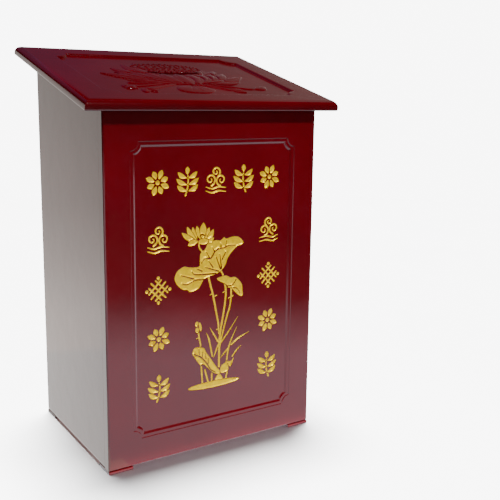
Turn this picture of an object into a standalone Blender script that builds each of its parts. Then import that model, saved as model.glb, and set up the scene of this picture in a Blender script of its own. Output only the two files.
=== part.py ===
"""Donation box: a lectern-topped case with a money slot and a lockable back door.

X is the width, Y runs from the front to the back, and Z is up. The origin is on the floor,
under the middle of the whole box.
"""

import math

import bmesh
import bpy
from mathutils import Matrix, Vector

# Driving dimensions, in metres.
BODY_WIDTH = 0.350
BODY_DEPTH = 0.265
BODY_FRONT_HEIGHT = 0.509  # from the underside of the case to the lid, at the front face
BOARD = 0.015
EDGE_ROUND = 0.003
GAP = 0.0003  # between pieces that touch

LID_SLOPE = math.radians(15.4)
LID_WIDTH = 0.410
LID_FRONT_OVERHANG = 0.0167  # measured along the slope, like the lid's length
LID_LENGTH = 0.304
LID_TOP_ROUND = 0.010
LID_BOTTOM_ROUND = 0.0025

FOOT_SIZE = 0.038
FOOT_HEIGHT = 0.005
BOTTOM_BOARD = 0.012

# Sunk fields with notched corners, on the lid and on the front.
LID_FIELD_SIZE = (0.325, 0.228)
LID_FIELD_CENTRE = 0.132  # up the slope from the front face
LID_FIELD_NOTCH = 0.022
LID_FIELD_PROFILE = ((0.0, 0.0), (0.0014, 0.0012), (0.004, 0.0035))  # inset, depth
FRONT_FIELD_SIZE = (0.2734, 0.426)
FRONT_FIELD_CENTRE = 0.252  # above the underside of the case
FRONT_FIELD_NOTCH = 0.013
FRONT_FIELD_PROFILE = ((0.0, 0.0), (0.0008, 0.0010), (0.0052, 0.0010), (0.0084, 0.0030))
NOTCH_STEP = 0.0025

SLOT_LENGTH = 0.090
SLOT_WIDTH = 0.010
SLOT_CENTRE = 0.146  # up the slope from the front face

POST = 0.020
CLEAT = 0.018

DOORWAY_WIDTH = 0.220
DOORWAY_HEIGHT = 0.300
DOORWAY_SILL = 0.060  # above the underside of the case
DOOR_CLEARANCE = 0.0015
STOP_WIDTH = 0.020
STOP_THICKNESS = 0.012
STOP_OVERLAP = 0.008

HINGE_HEIGHT = 0.040
HINGE_KNUCKLES = 5
HINGE_KNUCKLE_RADIUS = 0.003
HINGE_PIN_RADIUS = 0.0012
HINGE_LEAF_WIDTH = 0.018
HINGE_LEAF_THICKNESS = 0.0012
HINGE_INSET = 0.050  # from the doorway's top and bottom to each hinge's middle

LOCK_FROM_EDGE = 0.025  # from the door's free edge to the lock's axis
LOCK_BARREL_RADIUS = 0.009
LOCK_BARREL_DEPTH = 0.020
LOCK_FLANGE_RADIUS = 0.0115
LOCK_FLANGE_THICKNESS = 0.002
LOCK_PLUG_RADIUS = 0.006
LOCK_NUT_FLATS = 0.024
LOCK_NUT_THICKNESS = 0.004
CAM_LENGTH = 0.040
CAM_WIDTH = 0.014
CAM_THICKNESS = 0.002
CAM_SQUARE = 0.005
CAM_SCREW_RADIUS = 0.0016
KEY_THICKNESS = 0.0018
KEY_BOW_RADIUS = 0.011
KEY_REACH = 0.026  # from the back of the case to the end of the key
STRIKE_SIZE = (0.016, 0.050, 0.0012)
STRIKE_CLEARANCE = 0.0005

# Screws, small edges and the reach of cutters.
SCREW_POINT = 0.003
SCREW_RIM = 0.0003
RECESS_DEPTH = 0.0009
RECESS_HALF_WIDTH = 0.0003
LID_SCREW_PLACES = (0.060, 0.205)  # behind the front face
HINGE_SCREW_SPREAD = 0.012  # above and below the hinge's middle
HINGE_SCREW_SHARE = 0.62  # of the leaf's width, from the pin
STRIKE_SCREW_SPREAD = 0.018
FOOT_SCREW_INSET = 0.024
FOOT_SCREW_SINK = 0.0006
FOOT_ROUND = 0.0012
DOOR_ROUND = 0.0008
PIN_HEAD = 0.001
PLUG_RIM = 0.0015
PLUG_RIM_DEPTH = 0.0012
CUTTER_RISE = 0.002  # above the face that a cutter cuts
OVERCUT = 0.010
THROUGH = 0.030  # deeper than any bore
TINY = 1e-6

ROUND_SIDES = 20
BORE_SIDES = 32
SCREW_SIDES = 16
CREASE = math.radians(35)

# Places worked out from the driving dimensions.
LID_THICKNESS = BOARD
LID_NOSE_REACH = (
    LID_TOP_ROUND
    + (LID_FRONT_OVERHANG - LID_TOP_ROUND) * math.cos(LID_SLOPE)
    + (GAP + LID_THICKNESS - LID_TOP_ROUND) * math.sin(LID_SLOPE)
)
FRONT_Y = (LID_NOSE_REACH - BODY_DEPTH - KEY_REACH) / 2
BACK_Y = FRONT_Y + BODY_DEPTH
BODY_BOTTOM = FOOT_HEIGHT
LID_START_Z = BODY_BOTTOM + BODY_FRONT_HEIGHT
LID_NORMAL = Vector((0, -math.sin(LID_SLOPE), math.cos(LID_SLOPE)))
LID_UPHILL = Vector((0, math.cos(LID_SLOPE), math.sin(LID_SLOPE)))
INNER_HALF_WIDTH = BODY_WIDTH / 2 - BOARD
INNER_FRONT_Y = FRONT_Y + BOARD
INNER_BACK_Y = BACK_Y - BOARD
FLOOR_TOP_Z = BODY_BOTTOM + BOTTOM_BOARD
DOORWAY_BOTTOM_Z = BODY_BOTTOM + DOORWAY_SILL
DOORWAY_CENTRE_Z = DOORWAY_BOTTOM_Z + DOORWAY_HEIGHT / 2
LOCK_X = -(DOORWAY_WIDTH / 2 - DOOR_CLEARANCE - LOCK_FROM_EDGE)
HINGE_X = DOORWAY_WIDTH / 2 - DOOR_CLEARANCE / 2
HINGE_Y = BACK_Y + GAP + HINGE_KNUCKLE_RADIUS
LEFT, RIGHT = -1, 1

# An extruded section drawn in the side view, and pieces that face the back or the inside.
ALONG_X = (math.pi / 2, 0, math.pi / 2)
FACE_BACK = Vector((0, 1, 0))
FACE_FRONT = Vector((0, -1, 0))
FACE_DOWN = Vector((0, 0, -1))


def lid_underside(y):
    """Height of the sloping plane on which the lid lies."""
    return LID_START_Z + (y - FRONT_Y) * math.tan(LID_SLOPE)


def material(name, colour, roughness, metallic=0.0):
    """A plain Principled material."""
    made = bpy.data.materials.new(name)
    made.use_nodes = True
    shader = made.node_tree.nodes["Principled BSDF"]
    shader.inputs["Base Color"].default_value = (*colour, 1.0)
    shader.inputs["Roughness"].default_value = roughness
    shader.inputs["Metallic"].default_value = metallic
    return made


def turned_towards(direction):
    """The rotation that points an object's own Z along a direction."""
    return direction.to_track_quat("Z", "Y").to_euler()


def finish_mesh(bm, name):
    """Turn a bmesh into a mesh with outward faces."""
    bmesh.ops.recalc_face_normals(bm, faces=bm.faces)
    mesh = bpy.data.meshes.new(name)
    bm.to_mesh(mesh)
    bm.free()
    return mesh


def place(name, mesh, surface, location=(0, 0, 0), rotation=(0, 0, 0), parent=None):
    """Put a mesh in the scene as a named piece."""
    if surface and not mesh.materials:
        mesh.materials.append(surface)
    piece = bpy.data.objects.new(name, mesh)
    bpy.context.scene.collection.objects.link(piece)
    piece.location = location
    piece.rotation_euler = rotation
    if parent:
        piece.parent = parent
    return piece


def empty(name, location, rotation=(0, 0, 0), parent=None):
    """A joint's axis, or the place of a group of pieces."""
    marker = bpy.data.objects.new(name, None)
    marker.empty_display_size = 0.02
    bpy.context.scene.collection.objects.link(marker)
    marker.location = location
    marker.rotation_euler = rotation
    if parent:
        marker.parent = parent
    return marker


def prism(name, outline, length, start=0.0):
    """Extrude an XY outline along Z, from the height start."""
    bm = bmesh.new()
    lower = [bm.verts.new((x, y, start)) for x, y in outline]
    face = bm.faces.new(lower)
    grown = bmesh.ops.extrude_face_region(bm, geom=[face])
    upper = [item for item in grown["geom"] if isinstance(item, bmesh.types.BMVert)]
    bmesh.ops.translate(bm, vec=(0, 0, length), verts=upper)
    return finish_mesh(bm, name)


def block(name, size, centre=(0, 0, 0)):
    """A rectangular block."""
    bm = bmesh.new()
    bmesh.ops.create_cube(bm, size=1.0)
    bmesh.ops.scale(bm, vec=size, verts=bm.verts)
    bmesh.ops.translate(bm, vec=centre, verts=bm.verts)
    return finish_mesh(bm, name)


def turned(name, profile, sides=ROUND_SIDES):
    """Spin a profile of (radius, height) points, which starts and ends on the Z axis."""
    bm = bmesh.new()
    rings = []
    for radius, height in profile:
        if radius == 0:
            rings.append([bm.verts.new((0, 0, height))] * sides)
            continue
        angles = [2 * math.pi * k / sides for k in range(sides)]
        rings.append([bm.verts.new((radius * math.cos(a), radius * math.sin(a), height)) for a in angles])
    for lower, upper in zip(rings, rings[1:]):
        for k in range(sides):
            n = (k + 1) % sides
            corners = dict.fromkeys((lower[k], lower[n], upper[n], upper[k]))
            bm.faces.new(list(corners))
    mesh = finish_mesh(bm, name)
    mesh.shade_smooth()
    mesh.set_sharp_from_angle(angle=CREASE)
    return mesh


def stacked(name, rings):
    """Join rings of equal point count, each a list of XYZ points, and cap both ends."""
    bm = bmesh.new()
    loops = [[bm.verts.new(point) for point in ring] for ring in rings]
    for lower, upper in zip(loops, loops[1:]):
        for k in range(len(lower)):
            n = (k + 1) % len(lower)
            bm.faces.new((lower[k], lower[n], upper[n], upper[k]))
    bm.faces.new(loops[0])
    bm.faces.new(loops[-1])
    return finish_mesh(bm, name)


def arc(centre, radius, start, end, steps):
    """Points on an arc, with angles in degrees."""
    points = []
    for k in range(steps + 1):
        angle = math.radians(start + (end - start) * k / steps)
        points.append((centre[0] + radius * math.cos(angle), centre[1] + radius * math.sin(angle)))
    return points


def boolean(piece, tool, operation="DIFFERENCE"):
    """Cut a piece by a hidden tool."""
    tool.hide_render = True
    tool.display_type = "WIRE"
    change = piece.modifiers.new(operation.lower(), "BOOLEAN")
    change.operation = operation
    change.solver = "EXACT"
    change.object = tool


def cut(piece, mesh, location=(0, 0, 0), rotation=(0, 0, 0), parent=None):
    """Cut a mesh's shape out of a piece."""
    tool = place(f"{piece.name}_cutter", mesh, None, location, rotation, parent)
    boolean(piece, tool)


def notched_outline(size, notch, inset, steps=6):
    """A rectangle whose corners are hollow arcs with a small step at each end."""
    half_x, half_y = size[0] / 2, size[1] / 2
    radius = notch + inset
    step = NOTCH_STEP + inset
    reach = math.sqrt(radius**2 - step**2)
    first = math.degrees(math.atan2(-reach, -step))
    last = math.degrees(math.atan2(-step, -reach))
    corner = [(-inset, -reach)] + arc((0, 0), radius, first, last, steps) + [(-reach, -inset)]
    outline = []
    for sign_x, sign_y in ((1, 1), (-1, 1), (-1, -1), (1, -1)):
        points = [(sign_x * (half_x + x), sign_y * (half_y + y)) for x, y in corner]
        outline += points if sign_x == sign_y else points[::-1]
    return outline


def field_cutter(name, size, notch, profile):
    """The tool that sinks a moulded field into a face at height 0."""
    rings = [[(x, y, CUTTER_RISE) for x, y in notched_outline(size, notch, profile[0][0])]]
    for inset, depth in profile:
        rings.append([(x, y, -depth) for x, y in notched_outline(size, notch, inset)])
    return stacked(name, rings)


def round_edges(mesh, chosen):
    """Round the edges of a mesh for which chosen(low corner, high corner) is true."""
    bm = bmesh.new()
    bm.from_mesh(mesh)
    edges = []
    for edge in bm.edges:
        first, second = edge.verts[0].co, edge.verts[1].co
        low = Vector(min(pair) for pair in zip(first, second))
        high = Vector(max(pair) for pair in zip(first, second))
        if chosen(low, high):
            edges.append(edge)
    bmesh.ops.bevel(bm, geom=edges, offset=EDGE_ROUND, offset_type="OFFSET", segments=3, profile=0.5,
                    affect="EDGES")
    bm.to_mesh(mesh)
    bm.free()
    return mesh


def screw_profile(head_radius, shank_radius, length, grown=0.0):
    """A countersunk screw with its flat head at height 0 and its point at the bottom."""
    head_depth = head_radius - shank_radius
    return (
        (0, -length - grown),
        (shank_radius + grown, SCREW_POINT - length),
        (shank_radius + grown, -head_depth - SCREW_RIM),
        (head_radius + grown, -SCREW_RIM),
        (head_radius + grown, CUTTER_RISE if grown else 0.0),
        (0, CUTTER_RISE if grown else 0.0),
    )


def cross_outline(reach, half_width):
    """A plus sign with arms of equal length."""
    corner = ((reach, -half_width), (reach, half_width), (half_width, half_width))
    outline = []
    for quarter in range(4):
        turn = Matrix.Rotation(quarter * math.pi / 2, 2)
        outline += [tuple(turn @ Vector(point)) for point in corner]
    return outline


class Screw:
    """One size of countersunk screw, with a cross recess in its head."""

    def __init__(self, name, head_radius, shank_radius, length, surface):
        self.size = (head_radius, shank_radius, length)
        self.surface = surface
        blank = place(f"{name}_blank", turned(name, screw_profile(*self.size), SCREW_SIDES), surface)
        cross = cross_outline(head_radius / 2, RECESS_HALF_WIDTH)
        cut(blank, prism(f"{name}_recess", cross, 2 * RECESS_DEPTH, -RECESS_DEPTH))
        bpy.context.view_layer.update()
        evaluated = blank.evaluated_get(bpy.context.evaluated_depsgraph_get())
        self.mesh = bpy.data.meshes.new_from_object(evaluated)
        for tool in [change.object for change in blank.modifiers]:
            bpy.data.objects.remove(tool)
        bpy.data.objects.remove(blank)

    def drive(self, name, location, direction, through, parent=None):
        """Place one screw with its head towards direction, and make room for it."""
        rotation = turned_towards(direction)
        for piece in through:
            hole = turned(f"{name}_hole", screw_profile(*self.size, grown=GAP), SCREW_SIDES)
            cut(piece, hole, location, rotation, parent)
        return place(name, self.mesh, self.surface, location, rotation, parent)


def wall_section(start_y, end_y):
    """The side view of a wall that stands between the case's underside and the lid."""
    return (
        (start_y, BODY_BOTTOM),
        (end_y, BODY_BOTTOM),
        (end_y, lid_underside(end_y)),
        (start_y, lid_underside(start_y)),
    )


def front_panel(lacquer):
    """The front, as wide as the case, with a sunk and moulded field."""
    mesh = prism("front_panel", wall_section(FRONT_Y, INNER_FRONT_Y), BODY_WIDTH, -BODY_WIDTH / 2)
    outer = FRONT_Y + TINY
    round_edges(mesh, lambda low, high: high.x < outer and low.y < LID_START_Z - TINY)
    piece = place("front_panel", mesh, lacquer, rotation=ALONG_X)
    field = field_cutter("front_field", FRONT_FIELD_SIZE, FRONT_FIELD_NOTCH, FRONT_FIELD_PROFILE)
    centre = (0, FRONT_Y, BODY_BOTTOM + FRONT_FIELD_CENTRE)
    cut(piece, field, centre, (math.pi / 2, 0, 0))
    return piece


def side_panel(name, side, lacquer):
    """A side with a sloping top, between the front panel and the back of the case."""
    start = -BODY_WIDTH / 2 if side == LEFT else INNER_HALF_WIDTH
    mesh = prism(name, wall_section(INNER_FRONT_Y + GAP, BACK_Y), BOARD, start)
    outer = start if side == LEFT else start + BOARD

    def is_outer_edge(low, high):
        on_face = abs(low.z - outer) < TINY and abs(high.z - outer) < TINY
        at_bottom = high.y < BODY_BOTTOM + TINY
        at_back = low.x > BACK_Y - TINY
        return on_face and (at_bottom or at_back)

    return place(name, round_edges(mesh, is_outer_edge), lacquer, rotation=ALONG_X)


def back_panel(lacquer):
    """The back, between the sides, with the doorway cut out."""
    width = 2 * (INNER_HALF_WIDTH - GAP)
    mesh = prism("back_panel", wall_section(INNER_BACK_Y, BACK_Y), width, -width / 2)
    piece = place("back_panel", mesh, lacquer, rotation=ALONG_X)
    doorway = block("doorway", (DOORWAY_WIDTH, 4 * BOARD, DOORWAY_HEIGHT))
    cut(piece, doorway, (0, BACK_Y, DOORWAY_CENTRE_Z))
    return piece


def bottom_board(wood):
    """The floor of the case, between its four walls."""
    depth = INNER_BACK_Y - INNER_FRONT_Y - 2 * GAP
    size = (2 * (INNER_HALF_WIDTH - GAP), depth, BOTTOM_BOARD)
    middle = (INNER_FRONT_Y + INNER_BACK_Y) / 2
    return place("bottom_board", block("bottom_board", size), wood,
                 (0, middle, BODY_BOTTOM + BOTTOM_BOARD / 2))


def lid_rings():
    """The lid's outline at each height, from its underside to its rounded top edge."""
    bottom = arc((LID_BOTTOM_ROUND, LID_BOTTOM_ROUND), LID_BOTTOM_ROUND, 270, 180, 2)
    top_centre = (LID_TOP_ROUND, LID_THICKNESS - LID_TOP_ROUND)
    top = arc(top_centre, LID_TOP_ROUND, 180, 90, 6)
    rings = []
    for inset, height in bottom + top:
        x = LID_WIDTH / 2 - inset
        near = inset - LID_FRONT_OVERHANG
        far = LID_LENGTH - LID_FRONT_OVERHANG - inset
        rings.append([(-x, near, height), (x, near, height), (x, far, height), (-x, far, height)])
    return rings


def lid(lacquer):
    """The sloping lid. Its own Y runs up the slope from the front face of the case."""
    start = Vector((0, FRONT_Y, LID_START_Z)) + GAP * LID_NORMAL
    slope = (LID_SLOPE, 0, 0)
    piece = place("lid", stacked("lid", lid_rings()), lacquer, start, slope)
    field = field_cutter("lid_field", LID_FIELD_SIZE, LID_FIELD_NOTCH, LID_FIELD_PROFILE)
    cut(piece, field, start + LID_FIELD_CENTRE * LID_UPHILL + LID_THICKNESS * LID_NORMAL, slope)
    slot = block("money_slot", (SLOT_LENGTH, SLOT_WIDTH, 4 * LID_THICKNESS))
    cut(piece, slot, start + SLOT_CENTRE * LID_UPHILL, slope)
    return piece


def cleat_section():
    """The side view of the strip that carries the lid, under the slope."""
    ends = (INNER_FRONT_Y + GAP, INNER_BACK_Y - GAP)
    upper = [(y, lid_underside(y) - GAP) for y in ends]
    lower = [(y, z - CLEAT) for y, z in upper]
    return lower + upper[::-1]


def lid_cleat(name, side, wood):
    """The strip on a side panel, to which the lid is screwed."""
    inner = INNER_HALF_WIDTH - GAP - CLEAT
    start = inner if side == RIGHT else -inner - CLEAT
    return place(name, prism(name, cleat_section(), CLEAT, start), wood, rotation=ALONG_X)


def corner_post(name, side, y, wood):
    """An upright in a corner of the case, from its floor to the lid's cleat."""
    bottom = FLOOR_TOP_Z + GAP
    top = lid_underside(y) - CLEAT - 2 * GAP
    centre = (side * (INNER_HALF_WIDTH - GAP - POST / 2), y + POST / 2, (bottom + top) / 2)
    return place(name, block(name, (POST, POST, top - bottom)), wood, centre)


def bottom_cleat(name, side, wood):
    """The strip that ties the floor of the case to a side panel, between the posts."""
    length = INNER_BACK_Y - INNER_FRONT_Y - 2 * (POST + 3 * GAP)
    size = (CLEAT, length, CLEAT)
    centre = (side * (INNER_HALF_WIDTH - GAP - CLEAT / 2), (INNER_FRONT_Y + INNER_BACK_Y) / 2,
              FLOOR_TOP_Z + GAP + CLEAT / 2)
    return place(name, block(name, size), wood, centre)


def foot(name, side, y, lacquer):
    """A low square pad with rounded edges, flush with the corner of the case."""
    height = FOOT_HEIGHT - GAP
    x = side * (BODY_WIDTH / 2 - FOOT_SIZE / 2)
    piece = place(name, block(name, (FOOT_SIZE, FOOT_SIZE, height)), lacquer, (x, y, height / 2))
    rounding = piece.modifiers.new("round", "BEVEL")
    rounding.width = FOOT_ROUND
    rounding.segments = 2
    rounding.limit_method = "ANGLE"
    return piece


def door_stop(name, z, wood):
    """A strip behind the back panel against which the closed door rests."""
    size = (DOORWAY_WIDTH, STOP_THICKNESS, STOP_WIDTH)
    return place(name, block(name, size), wood, (0, INNER_BACK_Y - GAP - STOP_THICKNESS / 2, z))


def back_door(hinge_line, lacquer):
    """The door, with its origin on the hinge line."""
    width = DOORWAY_WIDTH - 2 * DOOR_CLEARANCE
    size = (width, BOARD, DOORWAY_HEIGHT - 2 * DOOR_CLEARANCE)
    centre = (-HINGE_X, BACK_Y - BOARD / 2 - HINGE_Y, 0)
    piece = place("back_door", block("back_door", size, centre), lacquer, parent=hinge_line)
    rounding = piece.modifiers.new("round", "BEVEL")
    rounding.width = DOOR_ROUND
    rounding.segments = 2
    return piece


def hinge_leaf_outline(side):
    """A hinge leaf seen along the pin: a round knuckle with a flat plate at its foot."""
    radius = HINGE_KNUCKLE_RADIUS
    plate_top = HINGE_LEAF_THICKNESS - radius
    meeting = math.degrees(math.asin(plate_top / radius))
    knuckle = arc((0, 0), radius, meeting, 270, 14)
    outline = knuckle + [(HINGE_LEAF_WIDTH, -radius), (HINGE_LEAF_WIDTH, plate_top)]
    return [(side * x, y) for x, y in outline]


def hinge_leaf(name, side, own_knuckle, steel, parent):
    """A leaf whose own knuckles are those with the parity own_knuckle."""
    mesh = prism(name, hinge_leaf_outline(side), HINGE_HEIGHT, -HINGE_HEIGHT / 2)
    piece = place(name, mesh, steel, parent=parent)
    bore = HINGE_PIN_RADIUS + GAP
    rod = turned("bore", ((0, -HINGE_HEIGHT), (bore, -HINGE_HEIGHT), (bore, HINGE_HEIGHT), (0, HINGE_HEIGHT)))
    cut(piece, rod, parent=parent)
    pitch = HINGE_HEIGHT / HINGE_KNUCKLES
    reach = 2 * (HINGE_KNUCKLE_RADIUS + GAP)
    for k in range(HINGE_KNUCKLES):
        if k % 2 != own_knuckle:
            room = block("knuckle_room", (reach, reach, pitch + GAP))
            cut(piece, room, (0, 0, (k + 0.5) * pitch - HINGE_HEIGHT / 2), parent=parent)
    return piece


def hinge_pin(name, steel, parent):
    """The pin, with a flat head at each end."""
    head = 2 * HINGE_PIN_RADIUS
    end = HINGE_HEIGHT / 2 + GAP
    tip = end + PIN_HEAD
    half = ((0, tip), (head, tip - SCREW_RIM), (head, end), (HINGE_PIN_RADIUS, end))
    profile = [(r, -z) for r, z in half] + [(r, z) for r, z in half[::-1]]
    return place(name, turned(name, profile), steel, parent=parent)


def hinge(name, z, hinge_line, case_piece, door_piece, brass, screw):
    """One butt hinge with its pin and four screws."""
    on_case = empty(f"{name}_axis", (HINGE_X, HINGE_Y, z))
    on_door = empty(f"{name}_door_axis", (0, 0, z - DOORWAY_CENTRE_Z), parent=hinge_line)
    case_leaf = hinge_leaf(f"{name}_case_leaf", RIGHT, 0, brass, on_case)
    door_leaf = hinge_leaf(f"{name}_door_leaf", LEFT, 1, brass, on_door)
    hinge_pin(f"{name}_pin", brass, on_case)
    head_y = HINGE_LEAF_THICKNESS - HINGE_KNUCKLE_RADIUS
    screw_x = HINGE_LEAF_WIDTH * HINGE_SCREW_SHARE
    for number, height in enumerate((-HINGE_SCREW_SPREAD, HINGE_SCREW_SPREAD), start=1):
        screw.drive(f"{name}_case_screw_{number}", (screw_x, head_y, height), FACE_BACK,
                    (case_leaf, case_piece), on_case)
        screw.drive(f"{name}_door_screw_{number}", (-screw_x, head_y, height), FACE_BACK,
                    (door_leaf, door_piece), on_door)


def hexagon(flats):
    """A regular hexagon of a given width across its flats."""
    return arc((0, 0), flats / math.sqrt(3), 0, 300, 5)


def lock_body(chrome, parent):
    """The threaded barrel and its flange, bored for the plug."""
    flange_top = GAP + LOCK_FLANGE_THICKNESS
    edge = 0.0008
    profile = (
        (0, -LOCK_BARREL_DEPTH),
        (LOCK_BARREL_RADIUS, -LOCK_BARREL_DEPTH),
        (LOCK_BARREL_RADIUS, GAP),
        (LOCK_FLANGE_RADIUS, GAP),
        (LOCK_FLANGE_RADIUS, flange_top - edge),
        (LOCK_FLANGE_RADIUS - edge, flange_top),
        (0, flange_top),
    )
    piece = place("lock_body", turned("lock_body", profile, BORE_SIDES), chrome, parent=parent)
    bore = LOCK_PLUG_RADIUS + GAP
    seat = bore + PLUG_RIM
    seat_z = flange_top - PLUG_RIM_DEPTH - GAP
    room = ((0, -THROUGH), (bore, -THROUGH), (bore, seat_z), (seat, seat_z), (seat, OVERCUT), (0, OVERCUT))
    cut(piece, turned("plug_room", room, BORE_SIDES), parent=parent)
    return piece


def lock_nut(steel, parent):
    """The hexagonal nut behind the door."""
    top = -BOARD - GAP
    mesh = prism("lock_nut", hexagon(LOCK_NUT_FLATS), -LOCK_NUT_THICKNESS, top)
    piece = place("lock_nut", mesh, steel, parent=parent)
    bore = LOCK_BARREL_RADIUS + GAP
    room = ((0, -THROUGH), (bore, -THROUGH), (bore, 0), (0, 0))
    cut(piece, turned("nut_bore", room, BORE_SIDES), parent=parent)
    return piece


def lock_plug(chrome, parent):
    """The turning plug, with a keyway in front and a square tail for the cam."""
    face = GAP + LOCK_FLANGE_THICKNESS
    tail = -LOCK_BARREL_DEPTH - GAP
    rim = LOCK_PLUG_RADIUS + PLUG_RIM
    edge = 0.0003
    profile = (
        (0, tail),
        (LOCK_PLUG_RADIUS, tail),
        (LOCK_PLUG_RADIUS, face - PLUG_RIM_DEPTH),
        (rim, face - PLUG_RIM_DEPTH),
        (rim, face - edge),
        (rim - edge, face),
        (0, face),
    )
    piece = place("lock_plug", turned("lock_plug", profile, BORE_SIDES), chrome, parent=parent)
    tail_length, tail_overlap = 0.002, 0.004
    size = (CAM_SQUARE, CAM_SQUARE, tail_length + tail_overlap)
    square = block("plug_tail", size, (0, 0, tail + (tail_overlap - tail_length) / 2))
    boolean(piece, place("plug_tail", square, None, parent=parent), "UNION")
    keyway_width, keyway_bottom, keyway_top = 0.0056, -0.013, 0.019
    size = (keyway_width, KEY_THICKNESS + 2 * GAP, keyway_top - keyway_bottom)
    cut(piece, block("keyway", size), (0, 0, (keyway_top + keyway_bottom) / 2), parent=parent)
    bore, bore_top = CAM_SCREW_RADIUS + GAP, -0.0155
    thread = turned("thread", ((0, -THROUGH), (bore, -THROUGH), (bore, bore_top), (0, bore_top)))
    cut(piece, thread, parent=parent)
    return piece


def lock_cam(steel, parent):
    """The cranked latch on the plug's tail. Its own X points along its arm."""
    rear = -LOCK_BARREL_DEPTH - 2 * GAP
    tip = -BOARD - GAP - STRIKE_SIZE[2] - STRIKE_CLEARANCE
    step_start, step_end = 0.015, 0.020
    upper = [(-CAM_WIDTH / 2, rear), (step_start, rear), (step_end, tip), (CAM_LENGTH, tip)]
    lower = [(x, z - CAM_THICKNESS) for x, z in upper]
    mesh = prism("lock_cam", upper + lower[::-1], CAM_WIDTH, -CAM_WIDTH / 2)
    piece = place("lock_cam", mesh, steel, rotation=(math.pi / 2, 0, 0), parent=parent)
    square = CAM_SQUARE + 2 * GAP
    cut(piece, block("cam_square", (square, square, 2 * OVERCUT)), (0, 0, rear), parent=parent)
    return piece


def lock_cam_screw(steel, parent):
    """The pan-head screw that holds the cam on the plug."""
    under_head = -LOCK_BARREL_DEPTH - 3 * GAP - CAM_THICKNESS
    head_radius, crown_radius, head_rim, head_crown = 0.0040, 0.0030, 0.0010, 0.0022
    point, shoulder = -0.0160, -0.0165
    profile = (
        (0, under_head - head_crown),
        (crown_radius, under_head - 2 * head_rim),
        (head_radius, under_head - head_rim),
        (head_radius, under_head),
        (CAM_SCREW_RADIUS, under_head),
        (CAM_SCREW_RADIUS, shoulder),
        (0, point),
    )
    piece = place("lock_cam_screw", turned("lock_cam_screw", profile), steel, parent=parent)
    slot_width, slot_depth = 0.0009, 0.0009
    slot = block("screw_slot", (OVERCUT, slot_width, 2 * slot_depth))
    cut(piece, slot, (0, 0, under_head - head_crown), parent=parent)
    return piece


def key_outline():
    """The key seen flat, with X along it: a notched blade, a neck and a round bow."""
    face = GAP + LOCK_FLANGE_THICKNESS
    bow_centre = KEY_REACH - KEY_BOW_RADIUS
    neck, blade = 0.0042, 0.0025  # half-heights
    spread = math.degrees(math.asin(neck / KEY_BOW_RADIUS))
    bow = arc((bow_centre, 0), KEY_BOW_RADIUS, spread - 180, 180 - spread, 24)
    shoulder = face + GAP
    upper = [(shoulder, neck), (shoulder, blade)]
    cuts = [(0.000, blade), (-0.0015, 0.0012), (-0.0030, 0.0022), (-0.0050, 0.0008), (-0.0070, 0.0020),
            (-0.0090, 0.0012), (-0.0110, 0.0020), (-0.0120, 0.0)]
    lower = [(-0.0110, -blade), (shoulder, -blade), (shoulder, -neck)]
    return bow + upper + cuts + lower


def key(chrome, parent):
    """The key, standing in the plug with its blade upright."""
    mesh = prism("key", key_outline(), KEY_THICKNESS, -KEY_THICKNESS / 2)
    piece = place("key", mesh, chrome, rotation=(0, -math.pi / 2, math.pi / 2), parent=parent)
    hole_radius = 0.003
    hole_height = KEY_REACH - 0.45 * KEY_BOW_RADIUS
    profile = ((0, -OVERCUT), (hole_radius, -OVERCUT), (hole_radius, OVERCUT), (0, OVERCUT))
    cut(piece, turned("key_hole", profile), (0, 0, hole_height), (math.pi / 2, 0, 0), parent)
    return piece


def strike_plate(steel, screw, case_piece):
    """The plate inside the back panel, behind which the cam turns."""
    x = -(DOORWAY_WIDTH / 2 + STRIKE_CLEARANCE + STRIKE_SIZE[0] / 2)
    size = (STRIKE_SIZE[0], STRIKE_SIZE[2], STRIKE_SIZE[1])
    y = INNER_BACK_Y - GAP - STRIKE_SIZE[2] / 2
    piece = place("strike_plate", block("strike_plate", size), steel, (x, y, DOORWAY_CENTRE_Z))
    for number, height in enumerate((-STRIKE_SCREW_SPREAD, STRIKE_SCREW_SPREAD), start=1):
        head = (x, y - STRIKE_SIZE[2] / 2, DOORWAY_CENTRE_Z + height)
        screw.drive(f"strike_screw_{number}", head, FACE_FRONT, (piece, case_piece))


def build_case(lacquer, wood):
    """The fixed boards and strips. Returns those that screws go into."""
    front_panel(lacquer)
    side_panel("left_side_panel", LEFT, lacquer)
    side_panel("right_side_panel", RIGHT, lacquer)
    back = back_panel(lacquer)
    floor = bottom_board(wood)
    for side, word in ((LEFT, "left"), (RIGHT, "right")):
        corner_post(f"corner_post_front_{word}", side, INNER_FRONT_Y + GAP, wood)
        corner_post(f"corner_post_back_{word}", side, INNER_BACK_Y - GAP - POST, wood)
        bottom_cleat(f"bottom_cleat_{word}", side, wood)
    middle = STOP_WIDTH / 2 - STOP_OVERLAP
    door_stop("door_stop_bottom", DOORWAY_BOTTOM_Z - middle, wood)
    door_stop("door_stop_top", DOORWAY_BOTTOM_Z + DOORWAY_HEIGHT + middle, wood)
    return back, floor


def build_lid(lacquer, wood, screw):
    """The lid, its two cleats and the screws that hold it down from inside."""
    top = lid(lacquer)
    for side, word in ((LEFT, "left"), (RIGHT, "right")):
        cleat = lid_cleat(f"lid_cleat_{word}", side, wood)
        x = side * (INNER_HALF_WIDTH - GAP - CLEAT / 2)
        for number, behind in enumerate(LID_SCREW_PLACES, start=1):
            y = FRONT_Y + behind
            head = (x, y, lid_underside(y) - GAP - CLEAT)
            screw.drive(f"lid_screw_{word}_{number}", head, -LID_NORMAL, (cleat, top))


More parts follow.
